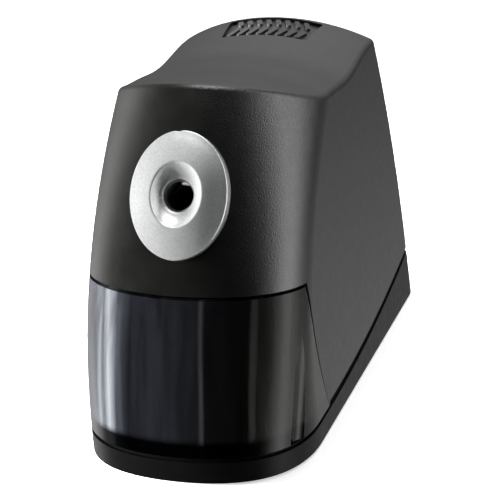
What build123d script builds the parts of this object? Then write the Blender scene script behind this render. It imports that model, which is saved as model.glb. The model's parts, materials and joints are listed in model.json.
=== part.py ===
from build123d import *
from math import atan2, cos, degrees, exp, radians, sin, sqrt
import os

os.makedirs("parts", exist_ok=True)

# Electric pencil sharpener. Millimetres, +Z up, the front (pencil side) faces -Y,
# the origin is on the table under the middle of the body.

# ---- driving dimensions -------------------------------------------------------------------
LENGTH = 210.0  # foot of the front to foot of the back, before the back's small overhang
HALF_WIDTH = 35.0  # at the underside
DRAFT = 0.025  # each flank leans in by this much per millimetre of height
FOOT = 0.8  # how far the rubber feet stand below the base
WALL = 2.4
ROOF_EDGE = 106.0  # height of the roof's side edges over the cutter
ROOF_RISE = 7.4  # how much higher the side edges are at the back
ROOF_CROWN = 6.8  # rise of the roof from its side edges to the middle, over the cutter
CROWN_GAIN = 1.65  # how much more the roof is crowned at the back
EDGE_RADIUS = 2.4  # rounding of the roof's and the back's edges
PARTING = 55.3  # height of the joint between the housing and the tray
TRAY_GAP = 1.0
SEAM_FRONT = 8.6  # height of the joint between the housing and the base, at the front
SEAM_RADIUS = 870.0
SEAM_START = -60.0
PENCIL_BORE = 4.2  # radius, for an 8 mm pencil
HOLE_HEIGHT = 83.2
TILT = 18.0  # degrees; the pencil slopes down into the body
RUN = 0.03  # radial running clearance of a shaft in its bore

# ---- the outer form -----------------------------------------------------------------------
LEVELS = [20.0, 42.0, 64.0, 86.0, 108.0, 130.0]  # plan sections above the underside
ROOF_STATIONS = [-135.0 + 15.0 * k for k in range(18)]
REAR_TOP = (26.0, 113.2)
REAR_BULGE = (70.5, 60.5)
REAR_FOOT = (LENGTH / 2 + 1.4, FOOT)
REAR_NORMAL = (0.0, 0.8, 0.6)
rear_arc = Edge.make_three_point_arc(
    (0, REAR_TOP[0], REAR_TOP[1]), (0, REAR_BULGE[0], REAR_BULGE[1]), (0, REAR_FOOT[0], REAR_FOOT[1])
)


def front_y(z):
    """Front face on the centre line: it bows out low down and leans back at the top."""
    h = z - FOOT
    return -LENGTH / 2 - 0.126 * h + 0.0028 * h * h


def corner_depth(z):
    """How far behind the front face the rounded corner meets the flank."""
    h = z - FOOT
    return 40.6 - 0.44 * h + 0.004 * h * h


def half_width(z):
    return HALF_WIDTH - DRAFT * (z - FOOT)


def roof_edge(y):
    """Side edge of the roof: level over the cutter, then an S-shaped step up to the back."""
    return ROOF_EDGE + ROOF_RISE / (1 + exp(-(y + 3.0) / 8.0))


def roof_crown(y):
    """Rise from the roof's side edges to its middle, a little more towards the back."""
    return ROOF_CROWN + CROWN_GAIN / (1 + exp(-y / 10.0))


def body_form(inset, edge_radius=0.0):
    """The whole outer form, with every face moved inwards by inset."""
    with BuildPart() as form:
        for z in [FOOT + inset] + LEVELS:
            w = half_width(z) - inset
            front = front_y(z) + inset
            depth = corner_depth(z)
            full = 0.665 - 0.0017 * (z - FOOT)
            back = LENGTH / 2 + 20
            with BuildSketch(Plane.XY.offset(z)):
                with BuildLine():
                    side = front + (1 - full) * depth
                    Bezier((0, front), (full * w, front), (w, side), (w, front + depth))
                    Line((w, front + depth), (w, back))
                    Line((w, back), (-w, back))
                    Line((-w, back), (-w, front + depth))
                    Bezier((-w, front + depth), (-w, side), (-full * w, front), (0, front))
                make_face()
        loft()
        ny, nz = REAR_NORMAL[1] * inset, REAR_NORMAL[2] * inset
        with BuildSketch(Plane.YZ):
            with BuildLine():
                Polyline((REAR_FOOT[0] - ny, FOOT - nz), (REAR_FOOT[0] - ny, -20), (-150, -20), (-150, 150),
                         (REAR_TOP[0] - ny - 35, 150), (REAR_TOP[0] - ny, REAR_TOP[1] - nz))
                ThreePointArc((REAR_TOP[0] - ny, REAR_TOP[1] - nz), (REAR_BULGE[0] - ny, REAR_BULGE[1] - nz),
                              (REAR_FOOT[0] - ny, FOOT - nz))
            make_face()
        extrude(amount=60, both=True, mode=Mode.INTERSECT)
        for y in ROOF_STATIONS:
            crown = roof_crown(y)
            radius = (32.4**2 + crown**2) / (2 * crown)
            top = roof_edge(y) + crown - inset
            drop = radius - sqrt(radius**2 - 45.0**2)
            with BuildSketch(Plane.XZ.offset(-y)):
                with BuildLine():
                    ThreePointArc((-45, top - drop), (0, top), (45, top - drop))
                    Polyline((45, top - drop), (45, -20), (-45, -20), (-45, top - drop))
                make_face()
        loft(mode=Mode.INTERSECT)
        if edge_radius:
            roof = form.faces().filter_by(lambda f: f.center().Z > 95 and f.normal_at().Z > 0.8)
            back = form.faces().filter_by(
                lambda f: f.center().Y > 15 and f.center().Z > 10 and f.normal_at().Y > 0.5)
            flank_edges = back.edges().filter_by(lambda e: abs(e.center().X) > 20)
            fillet(ShapeList(set(roof.edges()) | set(flank_edges)), edge_radius)
    return form.part


def cut_prism(points, half=60.0):
    """A solid with the given side profile (Y, Z), running right across the object."""
    with BuildPart() as prism:
        with BuildSketch(Plane.YZ):
            with BuildLine():
                Polyline(*points, close=True)
            make_face()
        extrude(amount=half, both=True)
    return prism.part


def seam_z(y):
    """Height of the housing/base joint: level under the tray, then rising to the back."""
    s = max(y - SEAM_START, 0.0)
    return SEAM_FRONT + s * s / (2 * SEAM_RADIUS)


def below_seam(shift):
    with BuildPart() as zone:
        with BuildSketch(Plane.YZ):
            with BuildLine():
                Line((-150, -10), (-150, SEAM_FRONT + shift))
                Line((-150, SEAM_FRONT + shift), (SEAM_START, SEAM_FRONT + shift))
                ThreePointArc((SEAM_START, SEAM_FRONT + shift), (35, seam_z(35) + shift),
                              (130, seam_z(130) + shift))
                Polyline((130, seam_z(130) + shift), (130, -10), (-150, -10))
            make_face()
        extrude(amount=60, both=True)
    return zone.part


TRAY_EDGE = [(-53.0, 8.2), (-70.8, 34.0), (-80.5, PARTING)]  # the tray's rear edge, bottom to top


def tray_zone(gap):
    """Side view of the space that belongs to the tray; gap widens it on every side."""
    low, middle, high = [(y + gap, z) for y, z in TRAY_EDGE]
    low = (low[0], low[1] - gap)
    high = (high[0], high[1] + gap)
    with BuildPart() as zone:
        with BuildSketch(Plane.YZ):
            with BuildLine():
                ThreePointArc(low, middle, high)
                Polyline(high, (-150, high[1]), (-150, low[1]), low)
            make_face()
        extrude(amount=60, both=True)
    return zone.part


outer = body_form(0.0, EDGE_RADIUS)
plain = body_form(0.0)
inner = body_form(WALL)
groove_floor = body_form(0.8)

# ---- the drive's own frame ----------------------------------------------------------------
# Its z runs down the pencil axis into the body, its x to the right and its y downwards.
AXIS = (0.0, cos(radians(TILT)), -sin(radians(TILT)))
MOUTH = (0.0, front_y(HOLE_HEIGHT), HOLE_HEIGHT)
drive = Plane(origin=MOUTH, x_dir=(1, 0, 0), z_dir=AXIS)


def at(s, x=0.0, y=0.0):
    """Plane across the pencil axis, s millimetres behind the mouth, centred at (x, y)."""
    return Plane(origin=drive.from_local_coords((x, y, s)), x_dir=(1, 0, 0), z_dir=AXIS)


# ---- upper housing ------------------------------------------------------------------------
BOSSES = [(28.6, -42.0), (28.6, 62.0)]
BOSS = 3.2
BADGE_FRONT = (-2.8, 14.4)  # y of the badge's front edge, and half its width there
BADGE_REAR = (16.2, 16.2)
WELL_DEPTH = 1.6
BEZEL = (14.2, 18.3)
FUNNEL = (7.4, 9.3)
SEAT_CLEARANCE = 0.15



def badge_shape(play):
    """Upright block with the badge's outline, drawn in by play."""
    front, rear = BADGE_FRONT[0] + play, BADGE_REAR[0] - play
    half_front, half_rear = BADGE_FRONT[1] - play, BADGE_REAR[1] - play
    with BuildPart() as block:
        with BuildSketch(Plane.XY.offset(90)):
            with BuildLine():
                Polyline((-half_front, front), (half_front, front), (half_rear, rear), (-half_rear, rear),
                         close=True)
            make_face()
        extrude(amount=40)
        fillet(block.edges().filter_by(Axis.Z), 0.8)
    return block.part


with BuildPart() as badge_well:
    add(badge_shape(0))
    add(body_form(WELL_DEPTH), mode=Mode.SUBTRACT)

with BuildPart() as upper_housing:
    add(outer)
    add(inner, mode=Mode.SUBTRACT)
    add(below_seam(0.4), mode=Mode.SUBTRACT)
    under_tray = cut_prism([(-150, 0), (-150, 30), (-53, 30), (-53, 0)])
    add(below_seam(1.3) - groove_floor - under_tray, mode=Mode.SUBTRACT)
    add(tray_zone(TRAY_GAP / 2), mode=Mode.SUBTRACT)
    # four posts for the screws that come up through the base, each with a web to the flank
    for x, y in BOSSES:
        web_start = seam_z(y) + 2.0
        with BuildSketch(Plane.XY.offset(6.0)):
            with Locations((x, y), (-x, y)):
                Circle(BOSS)
        extrude(amount=34)
        with BuildSketch(Plane.XY.offset(web_start)):
            with Locations((x + 2.2, y), (-x - 2.2, y)):
                Rectangle(4.4, 2.4)
        extrude(amount=40 - web_start)
        with BuildSketch(Plane.XY.offset(6.0)):
            with Locations((x, y), (-x, y)):
                Circle(1.25)
        extrude(amount=20, mode=Mode.SUBTRACT)
    # ribs across the inside of the roof
    for y in (-58.0, -30.0, -4.0):
        with BuildPart(mode=Mode.PRIVATE) as rib:
            with BuildSketch(Plane.XZ.offset(-y)):
                with Locations((0, 112)):
                    Rectangle(58, 14)
            extrude(amount=1.0, both=True)
            add(body_form(1.2), mode=Mode.INTERSECT)
        add(rib.part)
    # seat of the metal ring round the pencil hole
    with BuildSketch(at(-8)):
        Ellipse(BEZEL[0] + SEAT_CLEARANCE, BEZEL[1] + SEAT_CLEARANCE)
    extrude(amount=20, mode=Mode.SUBTRACT)
    add(badge_well.part, mode=Mode.SUBTRACT)
upper_housing.part.label = "upper_housing"
export_step(upper_housing.part, "parts/upper_housing.step")

# ---- base ---------------------------------------------------------------------------------
FLOOR = 3.4  # height of the top of the base's floor
DECK = SEAM_FRONT - 0.4  # height of the deck that the tray slides on
FEET = [(24.0, -66.0), (24.0, 84.0)]
FOOT_RADIUS = 6.0
GLAND_AT = 0.925  # how far down the back's curve the cord comes out
gland_point = rear_arc @ GLAND_AT
gland_run = rear_arc % GLAND_AT
gland = Plane(origin=gland_point, x_dir=(1, 0, 0), z_dir=(0, -gland_run.Z, gland_run.Y))
GLAND_NECK = 4.6

with BuildPart() as base_pan:
    add(outer)
    add(below_seam(-0.4), mode=Mode.INTERSECT)
    with BuildPart(mode=Mode.PRIVATE) as hollow:
        add(inner)
        add(cut_prism([(-48, FLOOR), (-48, 60), (130, 60), (130, FLOOR)]), mode=Mode.INTERSECT)
    add(hollow.part, mode=Mode.SUBTRACT)
    add((plain - groove_floor) & (below_seam(0.5) - below_seam(-1.3)), mode=Mode.SUBTRACT)
    # pads that the housing's posts stand on, each with a screw hole and a deep head recess
    for x, y in BOSSES:
        with BuildSketch(Plane.XY.offset(FLOOR - 1)):
            with Locations((x, y), (-x, y)):
                Circle(BOSS)
        extrude(amount=6.9 - FLOOR)
        with BuildSketch(Plane.XY):
            with Locations((x, y), (-x, y)):
                Circle(1.6)
        extrude(amount=8, mode=Mode.SUBTRACT)
        with BuildSketch(Plane.XY):
            with Locations((x, y), (-x, y)):
                Circle(3.1)
        extrude(amount=2.6, mode=Mode.SUBTRACT)
    # pedestals under the motor's two plates, sloping with the drive
    for s, half in ((75.75, 12.0), (108.0, 12.0)):
        with BuildSketch(at(s - 5)):
            with Locations((0, 71)):
                Rectangle(2 * half, 32 if s < 80 else 48)
        extrude(amount=10)
    add(cut_prism([(-150, FOOT), (-150, 100), (130, 100), (130, FOOT)]), mode=Mode.INTERSECT)
    # air slots under the fan
    with BuildSketch(Plane.XY):
        with GridLocations(0, 6.0, 1, 6):
            with Locations((0, 36.0)):
                SlotOverall(40, 2.4)
    extrude(amount=8, mode=Mode.SUBTRACT)
    # recesses for the feet
    with BuildSketch(Plane.XY):
        for x, y in FEET:
            with Locations((x, y), (-x, y)):
                Circle(FOOT_RADIUS + 0.1)
    extrude(amount=FOOT + 1.2, mode=Mode.SUBTRACT)
    # hole for the cord's rubber gland
    with BuildSketch(gland.offset(-12)):
        Circle(GLAND_NECK)
    extrude(amount=20, mode=Mode.SUBTRACT)
base_pan.part.label = "base_pan"
export_step(base_pan.part, "parts/base_pan.step")

with BuildPart() as rubber_feet:
    with BuildSketch(Plane.XY):
        for x, y in FEET:
            with Locations((x, y), (-x, y)):
                Circle(FOOT_RADIUS)
    extrude(amount=FOOT + 1.2)
    chamfer(rubber_feet.faces().group_by(Axis.Z)[0].edges(), 0.4)
rubber_feet.part.label = "rubber_feet"
export_step(rubber_feet.part, "parts/rubber_feet.step")

with BuildPart() as base_screws:
    for x, y in BOSSES:
        with BuildSketch(Plane.XY.offset(1.0)):
            with Locations((x, y), (-x, y)):
                Circle(2.8)
        extrude(amount=1.6)
        with BuildSketch(Plane.XY.offset(2.6)):
            with Locations((x, y), (-x, y)):
                Circle(1.25)
        extrude(amount=15)
    for x, y in BOSSES:
        with BuildSketch(Plane.XY.offset(1.0)):
            with Locations((x, y), (-x, y)):
                Rectangle(3.4, 0.8)
                Rectangle(0.8, 3.4)
        extrude(amount=0.9, mode=Mode.SUBTRACT)
base_screws.part.label = "base_screws"
export_step(base_screws.part, "parts/base_screws.step")

with BuildPart() as cord_inlet:
    # rubber gland: outer flange, neck through the base wall, inner flange
    with BuildSketch(gland.offset(0.05)):
        Circle(6.2)
        Circle(3.1, mode=Mode.SUBTRACT)
    extrude(amount=1.6, taper=20)
    with BuildSketch(gland.offset(-WALL - 1.0)):
        Circle(GLAND_NECK - 0.1)
        Circle(3.1, mode=Mode.SUBTRACT)
    extrude(amount=WALL + 1.1)
    with BuildSketch(gland.offset(-WALL - 2.4)):
        Circle(5.4)
        Circle(3.1, mode=Mode.SUBTRACT)
    extrude(amount=1.8)
cord_inlet.part.label = "cord_inlet"
export_step(cord_inlet.part, "parts/cord_inlet.step")

# ---- shavings tray ------------------------------------------------------------------------
TRAY_REAR = -52.0
TRAY_TOP = 46.0
BIN_HALF = 29.5
TRAY_WALL = 2.0
TRAY_FLOOR = 11.9
MAGNET_X = 18.5
GRIP_RADIUS = 6.5
GRIP_LOW = (37.2, -87.3, 9.0)  # two points on the axis of the groove in the tray's right corner
GRIP_HIGH = (38.7, -87.0, 37.0)

with BuildPart() as shavings_tray:
    # the curved front panel, which wraps round on to both flanks
    add(plain)
    add(tray_zone(-TRAY_GAP / 2), mode=Mode.INTERSECT)
    add(body_form(TRAY_WALL + 0.3), mode=Mode.SUBTRACT)
    # the bin behind it
    with BuildPart(mode=Mode.PRIVATE) as tray_bin:
        with BuildSketch(Plane.XY.offset(TRAY_FLOOR)):
            with Locations((0, (TRAY_REAR - 106) / 2)):
                Rectangle(2 * BIN_HALF, TRAY_REAR + 106)
        extrude(amount=TRAY_TOP - TRAY_FLOOR)
        fillet(tray_bin.edges().filter_by(Axis.Z).group_by(Axis.Y)[-1], 4)
        add(body_form(1.0), mode=Mode.INTERSECT)
    with BuildPart(mode=Mode.PRIVATE) as bin_hollow:
        with BuildSketch(Plane.XY.offset(TRAY_FLOOR + TRAY_WALL)):
            with Locations((0, (TRAY_REAR - 106) / 2 - TRAY_WALL)):
                Rectangle(2 * (BIN_HALF - TRAY_WALL), TRAY_REAR + 106)
        extrude(amount=TRAY_TOP)
        fillet(bin_hollow.edges().filter_by(Axis.Z).group_by(Axis.Y)[-1], 3)
        add(body_form(TRAY_WALL + 0.3), mode=Mode.INTERSECT)
    add(tray_bin.part)
    add(bin_hollow.part, mode=Mode.SUBTRACT)
    # skids
    with BuildSketch(Plane.XY.offset(DECK + 0.05)):
        with Locations((22, -72), (-22, -72)):
            Rectangle(3, 30)
    extrude(amount=TRAY_FLOOR - DECK + 0.2)
    # finger grips: an upright groove in each front corner, running out towards the top
    for side in (1, -1):
        low = Vector(side * GRIP_LOW[0], GRIP_LOW[1], GRIP_LOW[2])
        high = Vector(side * GRIP_HIGH[0], GRIP_HIGH[1], GRIP_HIGH[2])
        with BuildSketch(Plane(origin=low, z_dir=high - low)):
            Circle(GRIP_RADIUS)
        extrude(amount=60, both=True, mode=Mode.SUBTRACT)
    # pocket for the magnet
    with BuildSketch(Plane.XZ.offset(-TRAY_REAR + 1.6)):
        with Locations((MAGNET_X, 30)):
            Circle(3.0)
    extrude(amount=-1.7, mode=Mode.SUBTRACT)
shavings_tray.part.label = "shavings_tray"
export_step(shavings_tray.part, "parts/shavings_tray.step")

with BuildPart() as tray_magnet:
    with BuildSketch(Plane.XZ.offset(-TRAY_REAR + 1.6)):
        with Locations((MAGNET_X, 30)):
            Circle(3.0)
    extrude(amount=-1.5)
tray_magnet.part.label = "tray_magnet"
export_step(tray_magnet.part, "parts/tray_magnet.step")

with BuildPart() as reed_switch:
    # a glass reed tube on a small foot, read by the magnet in the tray's rear wall
    with BuildSketch(Plane.YZ.offset(MAGNET_X - 6)):
        with Locations((TRAY_REAR + 4.4, 30)):
            Circle(1.2)
    extrude(amount=12)
    with BuildSketch(Plane.XY.offset(FLOOR)):
        with Locations((MAGNET_X - 4.6, TRAY_REAR + 5.4), (MAGNET_X + 4.6, TRAY_REAR + 5.4)):
            Rectangle(1.6, 2.8)
        with Locations((MAGNET_X, TRAY_REAR + 5.9)):
            Rectangle(10.8, 3.0)
    extrude(amount=1.6)
    with BuildSketch(Plane.XY.offset(FLOOR)):
        with Locations((MAGNET_X - 4.6, TRAY_REAR + 5.4), (MAGNET_X + 4.6, TRAY_REAR + 5.4)):
            Rectangle(1.6, 2.8)
    extrude(amount=30 - FLOOR)
reed_switch.part.label = "reed_switch"
export_step(reed_switch.part, "parts/reed_switch.step")

# ---- ring round the hole, and the pencil guide ----------------------------------------------
RIM = -3.2  # the funnel's rim stands this far in front of the hole's mouth
GUIDE_OUT = 5.0  # outside of the tube that guides the pencil
# sections of the ring's dome: position along the axis, and how far in from the edge to the rim
BEZEL_DOME = [(-0.6, 0.0), (-1.3, 0.22), (-1.9, 0.42), (-2.5, 0.62), (-2.95, 0.8), (RIM, 0.9)]

with BuildPart() as bezel:
    # a domed oval ring with a funnel down to the hole
    for along, shrink in BEZEL_DOME:
        with BuildSketch(at(along)):
            Ellipse(BEZEL[0] - shrink * (BEZEL[0] - FUNNEL[0]), BEZEL[1] - shrink * (BEZEL[1] - FUNNEL[1]))
    loft()
    with BuildSketch(at(-0.6)):
        Ellipse(*BEZEL)
    extrude(amount=5.2)
    with BuildSketch(at(RIM)):
        Ellipse(*FUNNEL)
    with BuildSketch(at(0.6)):
        Ellipse(PENCIL_BORE + 0.3, PENCIL_BORE + 0.5)
    loft(mode=Mode.SUBTRACT)
    with BuildSketch(at(0.0)):
        Circle(PENCIL_BORE)
    extrude(amount=3.0, mode=Mode.SUBTRACT)
    with BuildSketch(at(2.0)):
        Circle(GUIDE_OUT + 0.1)
    extrude(amount=10, mode=Mode.SUBTRACT)
bezel.part.label = "bezel"
export_step(bezel.part, "parts/bezel.step")

GUIDE_END = 28.0
GUIDE_BORE = 4.35
MOUTH_LENGTH = 5.0  # how far back the mouth's closer bore runs
CHAMBER_END = 11.0  # the wider chamber behind the mouth, where the switch lever reaches in
CHAMBER = 5.0
CHAMBER_OUT = 6.2
with BuildPart() as pencil_guide:
    with BuildSketch(at(2.1)):
        Circle(GUIDE_OUT)
        Circle(PENCIL_BORE, mode=Mode.SUBTRACT)
    extrude(amount=GUIDE_END - 2.1)
    # collar against the front plate
    with BuildSketch(at(11.4)):
        Circle(8.0)
        Circle(PENCIL_BORE, mode=Mode.SUBTRACT)
    extrude(amount=1.6)
    with BuildSketch(at(MOUTH_LENGTH)):
        Circle(CHAMBER_OUT)
        Circle(PENCIL_BORE, mode=Mode.SUBTRACT)
    extrude(amount=CHAMBER_END + 1.2 - MOUTH_LENGTH)
    with BuildSketch(at(MOUTH_LENGTH)):
        Circle(CHAMBER)
    extrude(amount=CHAMBER_END - MOUTH_LENGTH, mode=Mode.SUBTRACT)
    with BuildSketch(at(CHAMBER_END)):
        Circle(GUIDE_BORE)
    extrude(amount=GUIDE_END - CHAMBER_END, mode=Mode.SUBTRACT)
    # slot for the switch lever's nose
    with BuildSketch(at(MOUTH_LENGTH)):
        with Locations((0, -GUIDE_OUT)):
            Rectangle(3.6, 3.0)
    extrude(amount=5.5, mode=Mode.SUBTRACT)
pencil_guide.part.label = "pencil_guide"
export_step(pencil_guide.part, "parts/pencil_guide.step")

# ---- drive frame ----------------------------------------------------------------------------
FRONT_PLATE = (13.0, 15.5)
MIDDLE_PLATE = (59.0, 61.5)
MOTOR_PLATE = (74.5, 77.0)
REAR_BRACKET = (107.0, 109.0)
MOTOR = (0.0, 12.3)
IDLER = (14.0, 18.25)
POST = 1.8
FRONT_POSTS = [(0.0, -22.0), (19.0, 11.0), (-19.0, 11.0)]
REAR_POSTS = [(16.0, -16.0), (-16.0, -16.0), (-18.0, 25.0)]
BOLT = 1.7
BOLT_PITCH = 45.6
SHAFT = 2.0
BUSH_OUT = 5.0
HUB = 4.0

with BuildPart() as front_plate:
    with BuildSketch(at(FRONT_PLATE[0])):
        Circle(20.0)
        with Locations(*FRONT_POSTS):
            Circle(4.4)
        Circle(GUIDE_OUT, mode=Mode.SUBTRACT)
        with Locations(*FRONT_POSTS):
            Circle(1.0, mode=Mode.SUBTRACT)
    extrude(amount=FRONT_PLATE[1] - FRONT_PLATE[0])
front_plate.part.label = "front_plate"
export_step(front_plate.part, "parts/front_plate.step")

with BuildPart() as middle_plate:
    with BuildSketch(at(MIDDLE_PLATE[0], 0.5, 0.5)):
        RectangleRounded(51, 53, 8)
    extrude(amount=MIDDLE_PLATE[1] - MIDDLE_PLATE[0])
    with BuildSketch(at(MIDDLE_PLATE[0])):
        Circle(6.0)
        with Locations(IDLER):
            Circle(SHAFT)
        with Locations(*REAR_POSTS, *FRONT_POSTS):
            Circle(1.0)
    extrude(amount=MIDDLE_PLATE[1] - MIDDLE_PLATE[0], mode=Mode.SUBTRACT)
middle_plate.part.label = "middle_plate"
export_step(middle_plate.part, "parts/middle_plate.step")

with BuildPart() as motor_plate:
    with BuildSketch(at(MOTOR_PLATE[0])):
        with Locations((0, 8.5)):
            RectangleRounded(54, 62, 6)
        with Locations((0, 40)):
            RectangleRounded(24, 21.6, 2)
    extrude(amount=MOTOR_PLATE[1] - MOTOR_PLATE[0])
    with BuildSketch(at(MOTOR_PLATE[0])):
        with Locations(MOTOR):
            Circle(BUSH_OUT)
            with GridLocations(BOLT_PITCH, BOLT_PITCH, 2, 2):
                Circle(BOLT)
        with Locations(IDLER):
            Circle(SHAFT)
        with Locations(*REAR_POSTS):
            Circle(1.0)
    extrude(amount=MOTOR_PLATE[1] - MOTOR_PLATE[0], mode=Mode.SUBTRACT)
motor_plate.part.label = "motor_plate"
export_step(motor_plate.part, "parts/motor_plate.step")

with BuildPart() as rear_bracket:
    with BuildSketch(at(REAR_BRACKET[0], MOTOR[0], MOTOR[1])):
        RectangleRounded(54, 14, 5)
        with Locations((0, 0)):
            RectangleRounded(14, 54, 5)
        with Locations((0, 13)):
            RectangleRounded(24, 29, 3)
        for turn in (45, 135):
            with Locations(Location((0, 0, 0), (0, 0, turn))):
                SlotOverall(74, 9)
        Circle(BUSH_OUT, mode=Mode.SUBTRACT)
        with GridLocations(BOLT_PITCH, BOLT_PITCH, 2, 2):
            Circle(BOLT, mode=Mode.SUBTRACT)
    extrude(amount=REAR_BRACKET[1] - REAR_BRACKET[0])
rear_bracket.part.label = "rear_bracket"
export_step(rear_bracket.part, "parts/rear_bracket.step")

with BuildPart() as frame_posts:
    for spots, start, end in ((FRONT_POSTS, FRONT_PLATE[1], MIDDLE_PLATE[0]),
                              (REAR_POSTS, MIDDLE_PLATE[1], MOTOR_PLATE[0])):
        with BuildSketch(at(start)):
            with Locations(*spots):
                RegularPolygon(POST + 0.25, 6)
        extrude(amount=end - start)
frame_posts.part.label = "frame_posts"
export_step(frame_posts.part, "parts/frame_posts.step")

with BuildPart() as frame_screws:
    for spots, face, way in ((FRONT_POSTS, FRONT_PLATE, -1), (REAR_POSTS, MOTOR_PLATE, 1)):
        head = face[0] - 1.6 if way < 0 else face[1]
        with BuildSketch(at(head)):
            with Locations(*spots):
                Circle(2.0)
        extrude(amount=1.6)
        with BuildSketch(at(face[0])):
            with Locations(*spots):
                Circle(1.0)
        extrude(amount=face[1] - face[0])
frame_screws.part.label = "frame_screws"
export_step(frame_screws.part, "parts/frame_screws.step")

# ---- gears ----------------------------------------------------------------------------------


def tooth_ring(teeth, root, tip, start, root_share=0.5, tip_share=0.2):
    """Outline points of a ring of trapezoid teeth; one tooth points along start (degrees)."""
    pitch = 360 / teeth
    points = []
    for k in range(teeth):
        middle = start + k * pitch
        for radius, angle in ((root, -root_share / 2), (tip, -tip_share / 2),
                              (tip, tip_share / 2), (root, root_share / 2)):
            a = radians(middle + angle * pitch)
            points.append((radius * cos(a), radius * sin(a)))
    return points


RING_GEAR = (15.5, 21.5)
PLANET_TEETH = 10
RING_TEETH = 32
CUTTER_LEAN = 10.0
TOOTH_START = 18.5  # front of the ring's teeth, along the axis
MESH = TOOTH_START + 1.5  # where the planet's middle meets the ring

with BuildPart() as ring_gear:
    with BuildSketch(at(RING_GEAR[0])):
        Circle(19.3)
        Circle(17.8, mode=Mode.SUBTRACT)
    extrude(amount=RING_GEAR[1] - RING_GEAR[0])
    with BuildSketch(at(TOOTH_START)):
        Circle(19.0)
        with BuildLine():
            Polyline(*tooth_ring(RING_TEETH, 17.5, 15.7, 90 + 180 / RING_TEETH, 0.45, 0.25), close=True)
        make_face(mode=Mode.SUBTRACT)
    extrude(amount=3.0)
ring_gear.part.label = "ring_gear"
export_step(ring_gear.part, "parts/ring_gear.step")

lean = radians(CUTTER_LEAN)
cutter_origin = drive.from_local_coords((0, 11.0, MESH))
cutter_dir = drive.z_dir * cos(lean) - drive.y_dir * sin(lean)
cutter = Plane(origin=cutter_origin, x_dir=(1, 0, 0), z_dir=cutter_dir)
CUTTER_AXLE = 1.5

with BuildPart() as helical_cutter:
    with BuildSketch(cutter.offset(-1.9)):
        with BuildLine():
            Polyline(*tooth_ring(PLANET_TEETH, 4.2, 5.5, 90, 0.42, 0.2), close=True)
        make_face()
    extrude(amount=3.6)
    with BuildSketch(cutter.offset(1.7)):
        Circle(3.2)
    extrude(amount=7.4)
    # helical flutes: a fluted section turned as it rises
    for k in range(8):
        with BuildSketch(cutter.offset(9.1 + k * 3.3)):
            with BuildLine():
                Polyline(*tooth_ring(14, 4.6, 5.4, k * 9.0, 0.7, 0.3), close=True)
            make_face()
        extrude(amount=3.3)
    with BuildSketch(cutter.offset(-1.9)):
        Circle(CUTTER_AXLE + RUN)
    extrude(amount=40, mode=Mode.SUBTRACT)
helical_cutter.part.label = "helical_cutter"
export_step(helical_cutter.part, "parts/helical_cutter.step")

with BuildPart() as cutter_axle:
    with BuildSketch(cutter.offset(-2.6)):
        Circle(CUTTER_AXLE)
    extrude(amount=41.2)
cutter_axle.part.label = "cutter_axle"
export_step(cutter_axle.part, "parts/cutter_axle.step")

with BuildPart() as cutter_carrier:
    # front disc, running on the guide
    with BuildSketch(at(23.0)):
        Circle(15.5)
    extrude(amount=4.0)
    # rear disc and hub
    with BuildSketch(at(55.5)):
        Circle(12.0)
    extrude(amount=2.5)
    with BuildSketch(at(58.0)):
        Circle(HUB)
    extrude(amount=10.0)
    # open cage between the discs
    with BuildSketch(at(27.0)):
        Circle(15.0)
        Circle(12.6, mode=Mode.SUBTRACT)
        with Locations((0, 12)):
            Rectangle(17, 26, mode=Mode.SUBTRACT)
        with Locations((0, -14)):
            Rectangle(9, 10, mode=Mode.SUBTRACT)
    extrude(amount=28.5)
    with BuildSketch(at(50.0)):
        Circle(15.0)
    extrude(amount=5.5)
    # room for the cutter, the pencil and the axle
    with BuildSketch(at(20.0)):
        Circle(GUIDE_OUT + RUN)
    extrude(amount=10, mode=Mode.SUBTRACT)
    with BuildSketch(cutter.offset(1.0)):
        Circle(6.1)
    extrude(amount=36.6, mode=Mode.SUBTRACT)
    with BuildSketch(cutter.offset(-4)):
        Circle(CUTTER_AXLE)
    extrude(amount=60, mode=Mode.SUBTRACT)
    with BuildSketch(at(48.0)):
        Circle(5.0)
    extrude(amount=4.0, mode=Mode.SUBTRACT)
cutter_carrier.part.label = "cutter_carrier"
export_step(cutter_carrier.part, "parts/cutter_carrier.step")

with BuildPart() as carrier_bush:
    with BuildSketch(at(58.4)):
        Circle(8.0)
        Circle(HUB + RUN, mode=Mode.SUBTRACT)
    extrude(amount=0.6)
    with BuildSketch(at(59.0)):
        Circle(6.0)
        Circle(HUB + RUN, mode=Mode.SUBTRACT)
    extrude(amount=2.6)
carrier_bush.part.label = "carrier_bush"
export_step(carrier_bush.part, "parts/carrier_bush.step")

to_idler = degrees(atan2(IDLER[1], IDLER[0]))
to_motor = degrees(atan2(MOTOR[1] - IDLER[1], MOTOR[0] - IDLER[0]))
CARRIER_TEETH, IDLER_SMALL, IDLER_LARGE, MOTOR_TEETH = 36, 10, 28, 10

with BuildPart() as carrier_gear:
    with BuildSketch(at(63.0)):
        with BuildLine():
            Polyline(*tooth_ring(CARRIER_TEETH, 16.8, 18.7, to_idler, 0.46, 0.2), close=True)
        make_face()
        with PolarLocations(11.0, 6):
            Circle(2.6, mode=Mode.SUBTRACT)
        Circle(HUB, mode=Mode.SUBTRACT)
    extrude(amount=4.0)
carrier_gear.part.label = "carrier_gear"
export_step(carrier_gear.part, "parts/carrier_gear.step")

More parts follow.
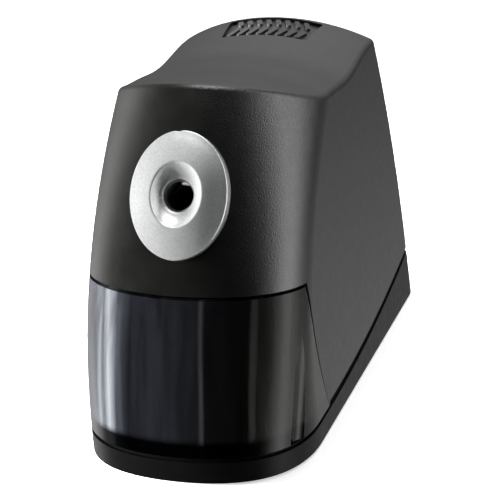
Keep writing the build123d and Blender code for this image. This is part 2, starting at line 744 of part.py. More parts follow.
with BuildPart() as compound_idler:
    with BuildSketch(at(62.4, *IDLER)):
        with BuildLine():
            first_tooth = to_idler + 180 + 180 / IDLER_SMALL
            Polyline(*tooth_ring(IDLER_SMALL, 4.0, 5.8, first_tooth, 0.46, 0.2), close=True)
        make_face()
    extrude(amount=5.4)
    with BuildSketch(at(67.8, *IDLER)):
        Circle(3.8)
    extrude(amount=1.0)
    with BuildSketch(at(68.8, *IDLER)):
        with BuildLine():
            Polyline(*tooth_ring(IDLER_LARGE, 10.3, 11.8, to_motor, 0.46, 0.2), close=True)
        make_face()
    extrude(amount=3.4)
    with BuildSketch(at(72.2, *IDLER)):
        Circle(3.8)
    extrude(amount=1.6)
    with BuildSketch(at(62, *IDLER)):
        Circle(SHAFT + RUN)
    extrude(amount=14, mode=Mode.SUBTRACT)
compound_idler.part.label = "compound_idler"
export_step(compound_idler.part, "parts/compound_idler.step")

with BuildPart() as idler_axle:
    with BuildSketch(at(MIDDLE_PLATE[0], *IDLER)):
        Circle(SHAFT)
    extrude(amount=MOTOR_PLATE[1] - MIDDLE_PLATE[0])
idler_axle.part.label = "idler_axle"
export_step(idler_axle.part, "parts/idler_axle.step")

with BuildPart() as motor_pinion:
    with BuildSketch(at(68.6, *MOTOR)):
        with BuildLine():
            first_tooth = to_motor + 180 + 180 / MOTOR_TEETH
            Polyline(*tooth_ring(MOTOR_TEETH, 3.15, 4.6, first_tooth, 0.46, 0.2), close=True)
        make_face()
        Circle(SHAFT, mode=Mode.SUBTRACT)
    extrude(amount=3.8)
motor_pinion.part.label = "motor_pinion"
export_step(motor_pinion.part, "parts/motor_pinion.step")

# ---- motor ----------------------------------------------------------------------------------
CORE = (81.0, 103.0)
CORE_SIZE = 52.0
ROTOR_RADIUS = 13.6
POLE_BORE = 14.1

with BuildPart() as motor_shaft:
    with BuildSketch(at(68.0, *MOTOR)):
        Circle(SHAFT)
    extrude(amount=51.5)
motor_shaft.part.label = "motor_shaft"
export_step(motor_shaft.part, "parts/motor_shaft.step")

with BuildPart() as motor_bushes:
    for start in (MOTOR_PLATE[0], REAR_BRACKET[0] - 1.0):
        with BuildSketch(at(start, *MOTOR)):
            Circle(BUSH_OUT)
            Circle(SHAFT + RUN, mode=Mode.SUBTRACT)
        extrude(amount=3.2)
motor_bushes.part.label = "motor_bushes"
export_step(motor_bushes.part, "parts/motor_bushes.step")

with BuildPart() as rotor:
    with BuildSketch(at(CORE[0], *MOTOR)):
        Circle(ROTOR_RADIUS)
        Circle(SHAFT, mode=Mode.SUBTRACT)
        with PolarLocations(ROTOR_RADIUS, 17):
            Rectangle(1.2, 0.6, mode=Mode.SUBTRACT)
    extrude(amount=CORE[1] - CORE[0])
    for start in (CORE[0] - 1.4, CORE[1]):
        with BuildSketch(at(start, *MOTOR)):
            Circle(12.6)
            Circle(8.0, mode=Mode.SUBTRACT)
        extrude(amount=1.4)
rotor.part.label = "rotor"
export_step(rotor.part, "parts/rotor.step")

with BuildPart() as stator_core:
    with BuildSketch(at(CORE[0], *MOTOR)):
        Rectangle(CORE_SIZE, CORE_SIZE)
        Circle(22.0, mode=Mode.SUBTRACT)
        with Locations((18.6, 0), (-18.6, 0)):
            Rectangle(8.0, 14.0)
        with BuildSketch(mode=Mode.PRIVATE) as shoes:
            Circle(16.3)
            with Locations((0, 0)):
                Rectangle(14, 40, mode=Mode.SUBTRACT)
        add(shoes.sketch)
        Circle(POLE_BORE, mode=Mode.SUBTRACT)
        with GridLocations(BOLT_PITCH, BOLT_PITCH, 2, 2):
            Circle(BOLT + 0.1, mode=Mode.SUBTRACT)
    extrude(amount=CORE[1] - CORE[0])
stator_core.part.label = "stator_core"
export_step(stator_core.part, "parts/stator_core.step")


def pole_ring(name, inner_y, outer_y, x_in, x_out, ends):
    """A rectangular ring round each of the two poles; ends is how far it stands past the core."""
    with BuildPart() as ring:
        with BuildSketch(at(CORE[0] - ends, *MOTOR)):
            for side in (1, -1):
                with Locations((side * (x_in + x_out) / 2, 0)):
                    Rectangle(x_out - x_in, 2 * outer_y)
        extrude(amount=CORE[1] - CORE[0] + 2 * ends)
        with BuildSketch(at(CORE[0] - 0.2 - (inner_y - 7.1), *MOTOR)):
            Rectangle(60, 2 * inner_y)
        extrude(amount=CORE[1] - CORE[0] + 0.4 + 2 * (inner_y - 7.1), mode=Mode.SUBTRACT)
    ring.part.label = name
    export_step(ring.part, "parts/" + name + ".step")
    return ring


coil_bobbins = pole_ring("coil_bobbins", 7.1, 7.9, 16.7, 19.5, 1.0)
coil_windings = pole_ring("coil_windings", 7.95, 10.2, 16.9, 19.2, 3.2)

with BuildPart() as motor_bolts:
    with BuildSketch(at(73.0, *MOTOR)):
        with GridLocations(BOLT_PITCH, BOLT_PITCH, 2, 2):
            Circle(2.8)
    extrude(amount=1.5)
    with BuildSketch(at(74.5, *MOTOR)):
        with GridLocations(BOLT_PITCH, BOLT_PITCH, 2, 2):
            Circle(BOLT)
    extrude(amount=34.5)
    with BuildSketch(at(REAR_BRACKET[1], *MOTOR)):
        with GridLocations(BOLT_PITCH, BOLT_PITCH, 2, 2):
            RegularPolygon(3.0, 6)
    extrude(amount=2.2)
motor_bolts.part.label = "motor_bolts"
export_step(motor_bolts.part, "parts/motor_bolts.step")

with BuildPart() as cooling_fan:
    with BuildSketch(at(111.5, *MOTOR)):
        Circle(6.0)
        Circle(SHAFT, mode=Mode.SUBTRACT)
    extrude(amount=7.5)
    with BuildSketch(at(111.5, *MOTOR)):
        Circle(20.0)
        Circle(SHAFT, mode=Mode.SUBTRACT)
    extrude(amount=1.2)
    with BuildSketch(at(112.0, *MOTOR)):
        with PolarLocations(0, 9):
            with Locations((12.2, 1.5)):
                Rectangle(14.4, 1.1)
    extrude(amount=6.5)
cooling_fan.part.label = "cooling_fan"
export_step(cooling_fan.part, "parts/cooling_fan.step")

with BuildPart() as motor_mounts:
    # rubber shoes on the lower ends of the two motor plates
    for face, bottom in ((MOTOR_PLATE, 50.8), (REAR_BRACKET, 39.8)):
        with BuildSketch(at(face[0] - 2.4)):
            with Locations((0, bottom)):
                RectangleRounded(23.0, 8.0, 1.0)
        extrude(amount=face[1] - face[0] + 4.8)
        with BuildSketch(at(face[0])):
            with Locations((0, bottom - 50)):
                Rectangle(60, 100)
        extrude(amount=face[1] - face[0], mode=Mode.SUBTRACT)
motor_mounts.part.label = "motor_mounts"
export_step(motor_mounts.part, "parts/motor_mounts.step")

# ---- pencil switch ----------------------------------------------------------------------------
LEVER_PIN = (-11.0, 11.6)  # (y, s) in the drive's frame
lever_plane = Plane(origin=drive.from_local_coords((0, 0, 0)), x_dir=drive.z_dir, z_dir=(1, 0, 0))

with BuildPart() as switch_lever:
    # sketched in the (s, -y) plane, so up here is away from the pencil
    with BuildSketch(lever_plane):
        with BuildLine():
            Polyline((5.2, 9.6), (6.4, 3.6), (8.6, 3.6), (9.4, 9.6), (12.6, 9.6), (12.6, 12.0), (10.6, 12.0),
                     (9.8, 10.8), (5.2, 10.8), close=True)
        make_face()
        with Locations((LEVER_PIN[1], -LEVER_PIN[0])):
            Circle(0.8 + RUN, mode=Mode.SUBTRACT)
    extrude(amount=1.2, both=True)
switch_lever.part.label = "switch_lever"
export_step(switch_lever.part, "parts/switch_lever.step")

with BuildPart() as lever_pin:
    with BuildSketch(lever_plane):
        with Locations((LEVER_PIN[1], -LEVER_PIN[0])):
            Circle(0.8)
    extrude(amount=3.0, both=True)
lever_pin.part.label = "lever_pin"
export_step(lever_pin.part, "parts/lever_pin.step")

with BuildPart() as micro_switch:
    with BuildSketch(lever_plane):
        with BuildLine():
            Polyline((6.0, 13.0), (13.0, 13.0), (13.0, 18.6), (6.0, 18.6), close=True)
        make_face()
    extrude(amount=3.0, both=True)
    # ears that carry the pin, and the plunger
    with BuildSketch(lever_plane):
        with BuildLine():
            Polyline((10.2, 9.6), (13.0, 9.6), (13.0, 13.2), (10.2, 13.2), close=True)
        make_face()
        with Locations((LEVER_PIN[1], -LEVER_PIN[0])):
            Circle(0.8, mode=Mode.SUBTRACT)
    extrude(amount=3.0, both=True)
    with BuildSketch(lever_plane):
        with Locations((11.0, 11.0)):
            Rectangle(6.0, 4.0)
    extrude(amount=1.4, both=True, mode=Mode.SUBTRACT)
micro_switch.part.label = "micro_switch"
export_step(micro_switch.part, "parts/micro_switch.step")

# ---- wiring -------------------------------------------------------------------------------------
with BuildPart() as terminal_block:
    with BuildSketch(Plane.XY.offset(FLOOR)):
        with Locations((16, 76)):
            Rectangle(14, 20)
    extrude(amount=9)
    with BuildSketch(Plane.XY.offset(FLOOR + 4)):
        with Locations((16, 76)):
            with GridLocations(0, 6.2, 1, 3):
                Circle(1.7)
    extrude(amount=6, mode=Mode.SUBTRACT)
terminal_block.part.label = "terminal_block"
export_step(terminal_block.part, "parts/terminal_block.step")

# ---- badge on the roof ----------------------------------------------------------------------------
BADGE_PLAY = 0.12
RIBS = 8
RIB_PITCH = 3.3
RIB_LEAN = 18.0  # degrees

with BuildPart() as roof_badge:
    add(badge_shape(BADGE_PLAY))
    add(body_form(WELL_DEPTH - 0.5), mode=Mode.INTERSECT)
    add(body_form(WELL_DEPTH), mode=Mode.SUBTRACT)
    with BuildPart(mode=Mode.PRIVATE) as relief:
        # two rows of plain slanting ribs, standing proud of the plate
        with BuildSketch(Plane.XY.offset(90)):
            for y, lean in ((2.0, RIB_LEAN), (11.4, -RIB_LEAN)):
                with Locations((0, y)):
                    with GridLocations(RIB_PITCH, 0, RIBS, 1):
                        SlotOverall(6.4, 1.7, rotation=90 - lean)
        extrude(amount=40)
        add(body_form(0.25), mode=Mode.INTERSECT)
        add(body_form(WELL_DEPTH - 0.3), mode=Mode.SUBTRACT)
    add(relief.part)
roof_badge.part.label = "roof_badge"
export_step(roof_badge.part, "parts/roof_badge.step")
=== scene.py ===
import json
import math

import bmesh
import bpy
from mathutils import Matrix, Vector


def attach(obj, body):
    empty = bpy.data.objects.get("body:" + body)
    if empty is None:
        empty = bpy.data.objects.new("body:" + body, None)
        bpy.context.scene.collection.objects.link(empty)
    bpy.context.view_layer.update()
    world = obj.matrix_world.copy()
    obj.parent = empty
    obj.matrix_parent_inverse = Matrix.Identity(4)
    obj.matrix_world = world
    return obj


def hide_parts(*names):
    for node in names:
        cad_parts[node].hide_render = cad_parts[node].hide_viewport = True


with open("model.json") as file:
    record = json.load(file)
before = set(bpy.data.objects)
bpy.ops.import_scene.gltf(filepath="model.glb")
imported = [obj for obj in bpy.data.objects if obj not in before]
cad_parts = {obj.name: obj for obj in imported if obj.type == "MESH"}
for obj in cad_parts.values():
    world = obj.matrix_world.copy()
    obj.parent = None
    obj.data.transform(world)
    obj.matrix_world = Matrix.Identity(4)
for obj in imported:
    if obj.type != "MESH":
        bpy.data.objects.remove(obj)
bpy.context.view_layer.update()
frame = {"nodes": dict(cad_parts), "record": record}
nodes = frame["nodes"]

# ---- materials -------------------------------------------------------------------------------
# Every texture is read in the object's own metres, so its grain has a real size.


NOISE_ROUGHNESS = 0.55
CUT_LOW, CUT_HIGH = 0.3, 0.7  # texture values outside these are cut off


class Material:
    """A Principled material with a few helpers for procedural detail."""

    def __init__(self, name, colour, roughness, metallic=0.0):
        self.mat = bpy.data.materials.new(name)
        self.mat.use_nodes = True
        self.tree = self.mat.node_tree
        self.shader = self.tree.nodes["Principled BSDF"]
        self.coords = self.tree.nodes.new("ShaderNodeTexCoord")
        self.set("Base Color", (*colour, 1.0))
        self.set("Roughness", roughness)
        self.set("Metallic", metallic)

    def set(self, socket, value):
        self.shader.inputs[socket].default_value = value
        return self

    def link(self, source, target):
        self.tree.links.new(source, target)

    def noise(self, size, detail=3.0, stretch=(1.0, 1.0, 1.0)):
        """Noise whose features are about size metres across."""
        mapping = self.tree.nodes.new("ShaderNodeMapping")
        mapping.inputs["Scale"].default_value = stretch
        texture = self.tree.nodes.new("ShaderNodeTexNoise")
        texture.inputs["Scale"].default_value = 1.0 / size
        texture.inputs["Detail"].default_value = detail
        texture.inputs["Roughness"].default_value = NOISE_ROUGHNESS
        self.link(self.coords.outputs["Object"], mapping.inputs["Vector"])
        self.link(mapping.outputs["Vector"], texture.inputs["Vector"])
        return texture.outputs["Fac"]

    def bands(self, scale, direction):
        """Parallel waves along one axis of the object."""
        wave = self.tree.nodes.new("ShaderNodeTexWave")
        wave.inputs["Scale"].default_value = scale
        wave.bands_direction = direction
        self.link(self.coords.outputs["Object"], wave.inputs["Vector"])
        return wave.outputs["Fac"]

    def spread(self, source, from_low, from_high, to_low=0.0, to_high=1.0):
        """Maps one range of values onto another and cuts off what is outside."""
        span = self.tree.nodes.new("ShaderNodeMapRange")
        span.inputs["From Min"].default_value = from_low
        span.inputs["From Max"].default_value = from_high
        span.inputs["To Min"].default_value = to_low
        span.inputs["To Max"].default_value = to_high
        self.link(source, span.inputs["Value"])
        return span.outputs["Result"]

    def vary_roughness(self, source, low, high):
        self.link(self.spread(source, CUT_LOW, CUT_HIGH, low, high), self.shader.inputs["Roughness"])
        return self

    def vary_colour(self, source, dark, light):
        ramp = self.tree.nodes.new("ShaderNodeValToRGB")
        ramp.color_ramp.elements[0].position = CUT_LOW
        ramp.color_ramp.elements[0].color = (*dark, 1.0)
        ramp.color_ramp.elements[1].position = CUT_HIGH
        ramp.color_ramp.elements[1].color = (*light, 1.0)
        self.link(source, ramp.inputs["Fac"])
        self.link(ramp.outputs["Color"], self.shader.inputs["Base Color"])
        return self

    def bump(self, source, depth, strength=1.0):
        """Adds relief of about depth metres."""
        node = self.tree.nodes.new("ShaderNodeBump")
        node.inputs["Strength"].default_value = strength
        node.inputs["Distance"].default_value = depth
        self.link(source, node.inputs["Height"])
        self.link(node.outputs["Normal"], self.shader.inputs["Normal"])
        return self


def housing_plastic():
    """Black textured ABS with a fine spark-eroded grain."""
    m = Material("housing_plastic", (0.0014, 0.0014, 0.0012), 0.32)
    m.set("Specular IOR Level", 1.0)
    m.vary_roughness(m.noise(0.003, 3.0), 0.295, 0.345)
    m.vary_colour(m.noise(0.006, 4.0), (0.001, 0.001, 0.0009), (0.0018, 0.0018, 0.0016))
    m.bump(m.noise(0.00045, 2.0), 0.00012, 0.7)
    return m.mat


def base_plastic():
    """The base's plastic: darker and duller than the housing's, with a shallower grain."""
    m = Material("base_plastic", (0.0008, 0.0008, 0.0008), 0.36)
    m.set("Specular IOR Level", 0.1)
    m.vary_roughness(m.noise(0.003, 3.0), 0.33, 0.4)
    m.bump(m.noise(0.0005, 2.0), 0.00006, 0.5)
    return m.mat


def silver_paint():
    """Satin silver finish with a faint metallic fleck."""
    m = Material("silver_paint", (0.8, 0.81, 0.81), 0.37, 0.94)
    m.vary_roughness(m.noise(0.004, 3.0), 0.35, 0.4)
    m.vary_colour(m.noise(0.0006, 2.0), (0.72, 0.73, 0.73), (0.86, 0.87, 0.87))
    m.bump(m.noise(0.0005, 2.0), 0.00004, 0.35)
    return m.mat


# painted light and shade across the tray, standing in for its lit and shaded inside and for reflections,
# from the object's left side at 0 to its right side at 1
PAINTED_TRAY_LIGHT = [(0.0, (0.002, 0.002, 0.0025)), (0.1, (0.003, 0.003, 0.0038)), (0.16, (0.006, 0.0066, 0.0078)),
        (0.19, (0.018, 0.0192, 0.0212)), (0.21, (0.008, 0.0086, 0.0098)), (0.24, (0.031, 0.0325, 0.035)),
        (0.28, (0.005, 0.0054, 0.0064)), (0.34, (0.0012, 0.0013, 0.0016)), (0.63, (0.002, 0.0021, 0.0026)),
        (0.645, (0.01, 0.01, 0.011)), (0.66, (0.001, 0.001, 0.0012)), (0.83, (0.001, 0.001, 0.001)),
        (0.85, (0.01, 0.01, 0.009)), (0.87, (0.0035, 0.0035, 0.003)), (1.0, (0.011, 0.011, 0.0095))]
HALF_WIDTH = 0.035  # half the width of the whole object, in metres
PAINTED_LIGHT_START = (0.0125, 0.0145)  # heights between which the painted light starts, in metres
UNDER_FLOOR = 0.03  # share of the painted light that is left below those heights, a painted shade under the tray's floor
WAVER = 0.004  # how far the edges of the painted light and shade wander, in metres
STREAK_CUT = (0.35, 0.65)  # noise values outside these are cut off
STREAKS = (0.68, 1.32)  # the faintest and the strongest streak


def smoke_plastic():
    """Dark smoke styrene, polished and opaque, its colour painted with light and shade that stand in for
    the lit inside seen through it and for reflections.
    """
    m = Material("smoke_plastic", (0.10, 0.105, 0.115), 0.04)
    m.set("Specular IOR Level", 0.18)
    m.vary_roughness(m.noise(0.012, 4.0), 0.03, 0.07)
    # painted light on the left, painted shade across the middle, and fainter painted light and reflection
    # on the right
    split = m.tree.nodes.new("ShaderNodeSeparateXYZ")
    m.link(m.coords.outputs["Object"], split.inputs["Vector"])
    waver = m.tree.nodes.new("ShaderNodeMath")
    waver.operation = "MULTIPLY_ADD"
    waver.inputs[1].default_value = WAVER
    m.link(m.noise(0.02, 2.0, (1.0, 1.0, 0.15)), waver.inputs[0])
    m.link(split.outputs["X"], waver.inputs[2])
    span = m.spread(waver.outputs[0], -HALF_WIDTH, HALF_WIDTH)
    painted_light = m.tree.nodes.new("ShaderNodeValToRGB")
    while len(painted_light.color_ramp.elements) < len(PAINTED_TRAY_LIGHT):
        painted_light.color_ramp.elements.new(0.5)
    for element, (place, colour) in zip(painted_light.color_ramp.elements, PAINTED_TRAY_LIGHT):
        element.position = place
        element.color = (*colour, 1.0)
    m.link(span, painted_light.inputs["Fac"])
    # below the tray's floor the painted light is cut to a painted shade
    depth = m.spread(split.outputs["Z"], *PAINTED_LIGHT_START, UNDER_FLOOR)
    # fine vertical streaks that make the painted light brighter and darker
    streaks = m.spread(m.noise(0.0035, 3.0, (1.0, 1.0, 0.06)), *STREAK_CUT, *STREAKS)
    # the painted light and shade, scaled by the streaks and the floor cut, become the tray's colour
    painted_level = m.tree.nodes.new("ShaderNodeMath")
    painted_level.operation = "MULTIPLY"
    m.link(streaks, painted_level.inputs[0])
    m.link(depth, painted_level.inputs[1])
    dim = m.tree.nodes.new("ShaderNodeVectorMath")
    dim.operation = "SCALE"
    m.link(painted_light.outputs["Color"], dim.inputs[0])
    m.link(painted_level.outputs["Value"], dim.inputs["Scale"])
    m.link(dim.outputs["Vector"], m.shader.inputs["Base Color"])
    return m.mat


def plain_plastic(name, colour, roughness):
    m = Material(name, colour, roughness)
    m.vary_roughness(m.noise(0.006, 3.0), roughness - 0.05, roughness + 0.08)
    m.bump(m.noise(0.0006, 2.0), 0.00002, 0.25)
    return m.mat


def plated_steel(name, colour, roughness, stretch=(1.0, 1.0, 12.0)):
    m = Material(name, colour, roughness, 1.0)
    m.vary_roughness(m.noise(0.0012, 3.0, stretch), roughness - 0.08, roughness + 0.1)
    light = tuple(min(1.0, c * 1.12) for c in colour)
    m.vary_colour(m.noise(0.01, 4.0), tuple(c * 0.85 for c in colour), light)
    m.bump(m.noise(0.0008, 3.0, stretch), 0.00002, 0.25)
    return m.mat


def copper_winding():
    """Enamelled wire, wound in fine parallel turns."""
    m = Material("copper_winding", (0.45, 0.16, 0.05), 0.32, 0.9)
    turns = m.bands(700.0, "X")
    m.bump(turns, 0.0001, 0.8)
    # the colour follows the bump, so the grooves between the turns are darker: painted shade
    m.vary_colour(turns, (0.3, 0.09, 0.03), (0.55, 0.2, 0.07))
    return m.mat


def laminations():
    """Stacked electrical sheet: fine lines across the stack, slightly blued."""
    m = Material("laminations", (0.2, 0.2, 0.215), 0.45, 0.9)
    m.bump(m.bands(300.0, "Y"), 0.00015, 0.7)
    m.vary_colour(m.noise(0.01, 4.0), (0.14, 0.14, 0.155), (0.26, 0.25, 0.25))
    return m.mat


def moulded_rubber():
    m = Material("moulded_rubber", (0.02, 0.02, 0.02), 0.75)
    m.vary_roughness(m.noise(0.004, 3.0), 0.68, 0.85)
    m.bump(m.noise(0.0005, 2.0), 0.00005, 0.5)
    return m.mat


def paint_nodes():
    """Gives each CAD node the material that its slot in the record names."""
    finishes = {
        "housing_abs": housing_plastic(),
        "base_abs": base_plastic(),
        "badge_abs": plain_plastic("badge_plastic", (0.02, 0.02, 0.021), 0.38),
        "satin_silver": silver_paint(),
        "smoke_plastic": smoke_plastic(),
        "magnet_steel": plated_steel("magnet_plating", (0.7, 0.7, 0.7), 0.2),
        "rubber": moulded_rubber(),
        "zinc_steel": plated_steel("zinc_plating", (0.58, 0.59, 0.6), 0.35),
        "black_acetal": plain_plastic("black_acetal", (0.02, 0.02, 0.02), 0.4),
        "white_acetal": plain_plastic("white_acetal", (0.75, 0.74, 0.7), 0.35),
        "tool_steel": plated_steel("tool_steel", (0.42, 0.42, 0.44), 0.28),
        "cast_zinc": plated_steel("cast_zinc", (0.4, 0.41, 0.42), 0.5, (1.0, 1.0, 1.0)),
        "bronze": plated_steel("sintered_bronze", (0.5, 0.33, 0.14), 0.42, (1.0, 1.0, 1.0)),
        "lamination_steel": laminations(),
        "enamelled_copper": copper_winding(),
    }
    for part in frame["record"]["subparts"]:
        mesh = nodes[part["node"]].data
        mesh.materials.clear()
        mesh.materials.append(finishes[part["material_slot"]])


paint_nodes()

# ---- ring round the pencil hole ------------------------------------------------------------
mm = 0.001
HOLE_DEPTH = 2.8  # the mount's point lies this far behind the mouth, in mm
hole = next(m for m in frame["record"]["mounts"] if m["name"] == "pencil_hole")
outward = Vector(hole["axis"]).normalized()
mouth = Vector(hole["pos_m"]) + outward * HOLE_DEPTH * mm
across = Vector((1, 0, 0))
upward = outward.cross(across).normalized()
if upward.z < 0:
    upward = -upward


def smooth(obj):
    for face in obj.data.polygons:
        face.use_smooth = True
    return obj


# half width, half height and how far out from the mouth, in mm, from the outer edge to the hole
RING_PROFILE = [
    (14.2, 18.3, -3.0), (14.2, 18.3, 0.2), (14.18, 18.28, 0.45), (14.05, 18.15, 0.62), (13.85, 17.95, 0.70),
    (13.5, 17.6, 0.78), (12.6, 16.5, 1.22), (11.4, 14.8, 1.78), (10.2, 13.0, 2.28), (9.1, 11.4, 2.70),
    (8.2, 10.2, 3.00), (7.75, 9.7, 3.12), (7.5, 9.42, 3.14), (7.36, 9.26, 3.06), (7.2, 9.05, 2.85),
    (6.85, 8.5, 2.25), (6.35, 7.6, 1.55), (5.75, 6.5, 0.95), (5.2, 5.5, 0.5), (4.85, 5.0, 0.34),
    (4.7, 4.82, 0.2), (4.6, 4.7, 0.0), (4.5, 4.6, -0.3),
]
RING_SIDES = 144
EDGE_BAND = 13.4  # points wider than this belong to the outer edge
NOTCH = (0.35, 95.0, 3.0)  # depth in mm, and the angle and spread in degrees


def make_ring():
    """Domed oval ring: a thin edge, a cone up to the rim, a hollow funnel, and a black bore."""
    bore = hole["dims"]["r_mm"]
    outline = RING_PROFILE + [(bore, bore, -0.6), (bore, bore, -4.0)]
    black_from = len(outline) - 3
    count = RING_SIDES
    notch_depth, notch_angle, notch_spread = NOTCH
    form = bmesh.new()
    rings = []
    for half_x, half_z, out in outline:
        ring = []
        for k in range(count):
            turn = 2 * math.pi * k / count
            # small locating notch at the top of the outer edge
            notch = 0.0
            if half_x > EDGE_BAND:
                notch = notch_depth * math.exp(-((math.degrees(turn) - notch_angle) / notch_spread) ** 2)
            point = mouth + across * (half_x - notch) * math.cos(turn) * mm
            point += upward * (half_z - notch) * math.sin(turn) * mm + outward * out * mm
            ring.append(form.verts.new(point))
        rings.append(ring)
    for i in range(len(rings) - 1):
        for k in range(count):
            n = (k + 1) % count
            face = form.faces.new((rings[i][k], rings[i][n], rings[i + 1][n], rings[i + 1][k]))
            face.material_index = 1 if i >= black_from else 0
    bmesh.ops.recalc_face_normals(form, faces=form.faces)
    mesh = bpy.data.meshes.new("ring")
    form.to_mesh(mesh)
    form.free()
    mesh.materials.append(bpy.data.materials["silver_paint"])
    mesh.materials.append(bpy.data.materials["black_acetal"])
    ring = smooth(bpy.data.objects.new("ring", mesh))
    bpy.context.collection.objects.link(ring)
    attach(ring, "body")
    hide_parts("bezel")


make_ring()

# ---- camera, floor and light -----------------------------------------------------------------


def aim(obj, at):
    """Turns a light or camera to look at a point."""
    obj.rotation_mode = "QUATERNION"
    obj.rotation_quaternion = (Vector(at) - obj.location).to_track_quat("-Z", "Y")


# the camera stands DISTANCE metres from TARGET, AZIMUTH degrees right of the front and ELEVATION degrees up
TARGET = Vector((-0.00833, 0.01111, 0.03956))
DISTANCE = 0.5373
AZIMUTH = 15.08
ELEVATION = 14.74
LENS = 109.3


def make_camera():
    """View from the front, a little to the right and a little above."""
    data = bpy.data.cameras.new("camera")
    cam = bpy.data.objects.new("camera", data)
    bpy.context.collection.objects.link(cam)
    azimuth, elevation = math.radians(AZIMUTH), math.radians(ELEVATION)
    level = math.cos(elevation)
    back = Vector((math.sin(azimuth) * level, -math.cos(azimuth) * level, math.sin(elevation)))
    cam.location = TARGET + back * DISTANCE
    aim(cam, TARGET)
    data.sensor_width = 36.0
    data.lens = LENS
    data.clip_start = 0.01
    data.clip_end = 20.0
    bpy.context.scene.camera = cam


def area_light(name, place, at, size, power):
    """A soft light that brightens matt surfaces but isn't seen in reflections."""
    data = bpy.data.lights.new(name, "AREA")
    data.shape = "RECTANGLE"
    data.size, data.size_y = size
    data.energy = power
    light = bpy.data.objects.new(name, data)
    bpy.context.collection.objects.link(light)
    light.location = place
    light.visible_glossy = False
    light.visible_transmission = False
    aim(light, at)


# brightness of the studio: round the walls by degrees from the front, and by height
PEAK = 6.0
WALL_LIGHT = [(-180, 0.28), (-160, 0.22), (-135, 0.45), (-118, 1.6), (-105, 1.25), (-92, 0.2), (-76, 0.0),
              (-35, 0.0), (-10, 0.0), (25, 0.0), (58, 0.0), (77, 0.1), (89, 2.1), (101, 4.1), (112, 1.7),
              (128, 0.1), (160, 0.26), (180, 0.28)]
BACK_WALL = [(-0.5, 1.7), (-0.3, 1.5), (-0.2, 1.05), (-0.1, 0.55), (0.0, 0.4), (0.5, 0.9)]
FRONT_CEILING = [(0.0, 0.0), (0.65, 0.0), (0.88, 0.1), (0.96, 1.8), (1.0, 6.0)]
BACK_CEILING = [(0.0, 0.4), (0.25, 0.28), (0.5, 0.6), (0.75, 1.1), (0.93, 1.8), (1.0, 5.0)]
GROUND_LIGHT = [(-1.0, 0.3), (-0.6, 0.1), (-0.4, 0.0), (0.0, 0.0)]
LEFT_TOP = 0.12  # share of the light that is left high up on the left wall


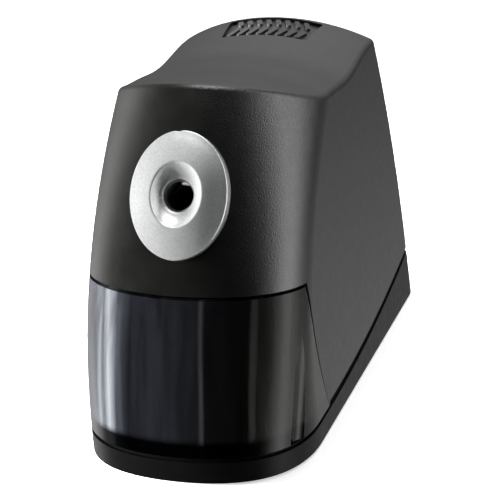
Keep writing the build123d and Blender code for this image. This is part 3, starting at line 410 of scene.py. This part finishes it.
def make_studio():
    """Soft walls, ceiling and ground of light, brighter to the sides than in front."""
    world = bpy.data.worlds.new("studio")
    bpy.context.scene.world = world
    world.use_nodes = True
    tree = world.node_tree
    background = tree.nodes["Background"]

    def math_node(operation, first, second=None):
        node = tree.nodes.new("ShaderNodeMath")
        node.operation = operation
        for socket, value in ((0, first), (1, second)):
            if isinstance(value, (int, float)):
                node.inputs[socket].default_value = value
            elif value is not None:
                tree.links.new(value, node.inputs[socket])
        return node.outputs[0]

    def ramp(source, stops, low, high):
        """Brightness along stops of (position, brightness); source runs from low to high."""
        span = tree.nodes.new("ShaderNodeMapRange")
        span.inputs["From Min"].default_value = low
        span.inputs["From Max"].default_value = high
        tree.links.new(source, span.inputs["Value"])
        node = tree.nodes.new("ShaderNodeValToRGB")
        node.color_ramp.interpolation = "B_SPLINE"
        elements = node.color_ramp.elements
        while len(elements) < len(stops):
            elements.new(0.5)
        for element, (place, level) in zip(elements, stops):
            element.position = (place - low) / (high - low)
            element.color = (level / PEAK, level / PEAK, level / PEAK, 1.0)
        tree.links.new(span.outputs["Result"], node.inputs["Fac"])
        return math_node("MULTIPLY", node.outputs["Color"], PEAK)

    def fade(source, low, high):
        node = tree.nodes.new("ShaderNodeMapRange")
        node.interpolation_type = "SMOOTHSTEP"
        node.inputs["From Min"].default_value = low
        node.inputs["From Max"].default_value = high
        tree.links.new(source, node.inputs["Value"])
        return node.outputs["Result"]

    def blend(factor, first, second):
        """first where factor is 0, second where it is 1."""
        gap = math_node("SUBTRACT", second, first)
        return math_node("ADD", math_node("MULTIPLY", factor, gap), first)

    coords = tree.nodes.new("ShaderNodeTexCoord")
    split = tree.nodes.new("ShaderNodeSeparateXYZ")
    tree.links.new(coords.outputs["Generated"], split.inputs["Vector"])
    toward_front = math_node("MULTIPLY", split.outputs["Y"], -1.0)
    turn = math_node("ARCTAN2", split.outputs["X"], toward_front)
    degrees_round = math_node("MULTIPLY", turn, 180.0 / math.pi)
    height = split.outputs["Z"]
    behind = fade(split.outputs["Y"], 0.3, 0.8)
    walls = ramp(degrees_round, WALL_LIGHT, -180.0, 180.0)
    # behind the object the wall dims towards the horizon, and the ceiling comes down lower
    dimming = blend(behind, 1.0, ramp(height, BACK_WALL, -0.5, 0.5))
    walls = math_node("MULTIPLY", walls, dimming)
    # the left wall is lower than the right one
    left_top = math_node("MULTIPLY", fade(degrees_round, -40.0, -60.0), fade(height, 0.06, 0.55))
    walls = math_node("MULTIPLY", walls, blend(left_top, 1.0, LEFT_TOP))
    ceiling = blend(behind, ramp(height, FRONT_CEILING, 0.0, 1.0), ramp(height, BACK_CEILING, 0.0, 1.0))
    to_ceiling = blend(behind, fade(height, 0.6, 0.85), fade(height, 0.08, 0.3))
    ground = ramp(height, GROUND_LIGHT, -1.0, 0.0)
    total = blend(fade(height, -0.45, -0.68), blend(to_ceiling, walls, ceiling), ground)
    tree.links.new(total, background.inputs["Color"])


FLOOR_SIZE = 6.0


def make_floor():
    """Plain white floor, lit a little from within so that it stays pale, and not seen in reflections."""
    mesh = bpy.data.meshes.new("floor")
    form = bmesh.new()
    bmesh.ops.create_grid(form, x_segments=2, y_segments=2, size=FLOOR_SIZE)
    form.to_mesh(mesh)
    form.free()
    floor = bpy.data.objects.new("floor", mesh)
    bpy.context.collection.objects.link(floor)
    paper = bpy.data.materials.new("floor_paper")
    paper.use_nodes = True
    shader = paper.node_tree.nodes["Principled BSDF"]
    shader.inputs["Base Color"].default_value = (0.9, 0.9, 0.9, 1.0)
    shader.inputs["Roughness"].default_value = 0.9
    shader.inputs["Emission Color"].default_value = (1.0, 1.0, 1.0, 1.0)
    shader.inputs["Emission Strength"].default_value = 0.5
    mesh.materials.append(paper)
    floor.visible_glossy = False


def make_lights():
    area_light("overhead", (-0.25, 0.1, 0.9), (0, 0, 0.05), (0.7, 0.6), 2.5)
    area_light("key", (-0.74, -0.34, 0.12), (0, -0.07, 0.06), (0.25, 0.25), 150.0)


make_camera()
make_studio()
make_floor()
make_lights()
bpy.context.scene.view_settings.view_transform = "Standard"
